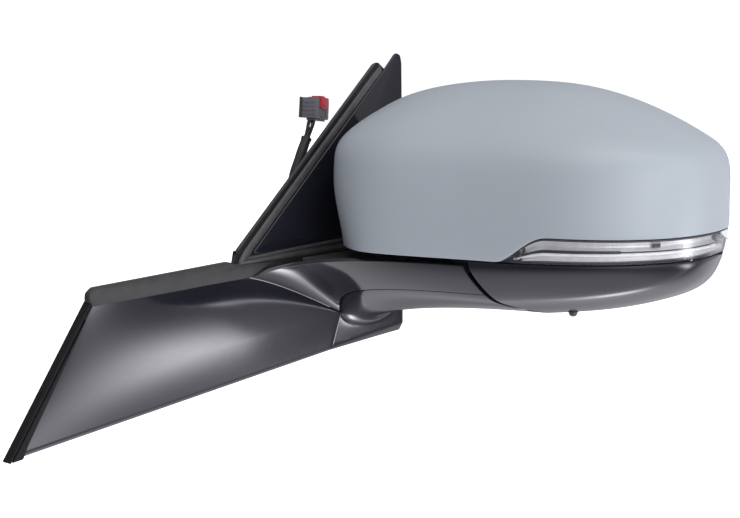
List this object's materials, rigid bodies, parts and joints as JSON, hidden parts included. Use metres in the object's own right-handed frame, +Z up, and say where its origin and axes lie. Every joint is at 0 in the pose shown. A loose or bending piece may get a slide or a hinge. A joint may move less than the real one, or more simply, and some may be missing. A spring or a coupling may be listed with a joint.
{
  "type": "car side mirror",
  "caption": "Left car door mirror: folding head with a painted cover, indicator strip and tilting glass, on a foot with a long door fin, a triangular sail panel and a wiring plug.",
  "frame": {"origin": "centre of the bracket's bolting face, on the plane that meets the door", "axes": "+X away from the door (outboard), +Y towards the rear of the car, +Z up"},
  "size_m": [0.3148, 0.4097, 0.2442],
  "materials": {
    "primer_grey": "satin primer",
    "gloss_black": "gloss",
    "satin_black": "satin",
    "seal_rubber": "matt",
    "cast_alloy": "as cast",
    "zinc_steel": "zinc plated",
    "spring_steel": "oiled",
    "nylon": "natural",
    "clear_lens": "clear",
    "chrome": "vacuum metallised",
    "mirror_glass": "silvered",
    "heater_foil": "printed film",
    "plug_grey": "satin",
    "lock_red": "satin",
    "motor_can": "plain"
  },
  "bodies": {
    "base": {"belt_strip": "satin_black", "connector_housing": "plug_grey", "connector_lock": "lock_red", "detent_ring": "nylon", "door_gasket": "seal_rubber", "fin_carrier": "satin_black", "fin_cover": "gloss_black", "fin_edge_seal": "seal_rubber", "fold_gear": "zinc_steel", "foot_lower_cover": "gloss_black", "foot_top_plate": "satin_black", "harness_clip": "satin_black", "harness_grommet": "seal_rubber", "harness_sleeve": "satin_black", "harness_wires": "satin_black", "mounting_bolt_1": "zinc_steel", "mounting_bolt_2": "zinc_steel", "mounting_bolt_3": "zinc_steel", "mounting_bracket": "cast_alloy", "pivot_shaft": "zinc_steel", "pivot_spring": "spring_steel", "sail_backing": "satin_black", "sail_frame": "satin_black", "sail_panel": "gloss_black", "sail_rail": "satin_black", "sail_seal": "seal_rubber", "spring_retainer": "zinc_steel"},
    "head": {"upper_cover": "primer_grey", "lower_cover": "gloss_black", "indicator_lens": "clear_lens", "indicator_reflector": "chrome", "indicator_housing": "satin_black", "rear_bezel": "satin_black", "head_frame": "cast_alloy", "fold_drive_cover": "satin_black", "fold_motor": "motor_can", "glass_actuator": "satin_black", "actuator_screw_1": "zinc_steel", "actuator_screw_2": "zinc_steel", "actuator_screw_3": "zinc_steel", "temperature_sensor": "satin_black"},
    "worm": {"fold_worm": "zinc_steel"},
    "gimbal": {"gimbal_ring": "nylon"},
    "glass": {"mirror_glass": "mirror_glass", "heater_pad": "heater_foil", "glass_carrier": "satin_black"},
    "jack_tilt": {"jack_tilt": "nylon"},
    "jack_swing": {"jack_swing": "nylon"}
  },
  "joints": [
    {"name": "fold", "type": "hinge", "parent": "base", "child": "head", "pos_m": [0.092, 0.005, 0], "axis": [0, 0, 1], "range_deg": [-50, 65]},
    {"name": "worm_spin", "type": "hinge", "parent": "head", "child": "worm", "pos_m": [0.0963, -0.01525, 0.0605], "axis": [0.9781, 0.2079, 0], "range_deg": [-1210, 1570]},
    {"name": "glass_tilt", "type": "hinge", "parent": "head", "child": "gimbal", "pos_m": [0.17155, 0.0444, 0.062], "axis": [0.9781, 0.2079, 0], "range_deg": [-7, 7]},
    {"name": "glass_swing", "type": "hinge", "parent": "gimbal", "child": "glass", "pos_m": [0.17155, 0.0444, 0.062], "axis": [0, 0, 1], "range_deg": [-6, 6]},
    {"name": "jack_tilt_slide", "type": "slide", "parent": "head", "child": "jack_tilt", "axis": [-0.2079, 0.9781, 0], "range_m": [-0.004, 0.004]},
    {"name": "jack_swing_slide", "type": "slide", "parent": "head", "child": "jack_swing", "axis": [-0.2079, 0.9781, 0], "range_m": [-0.004, 0.004]}
  ],
  "couplings": [
    {"joint": "worm_spin", "follows": "fold", "ratio": 24},
    {"joint": "jack_tilt_slide", "follows": "glass_tilt", "m_per_rad": -0.03},
    {"joint": "jack_swing_slide", "follows": "glass_swing", "m_per_rad": 0.03}
  ]
}
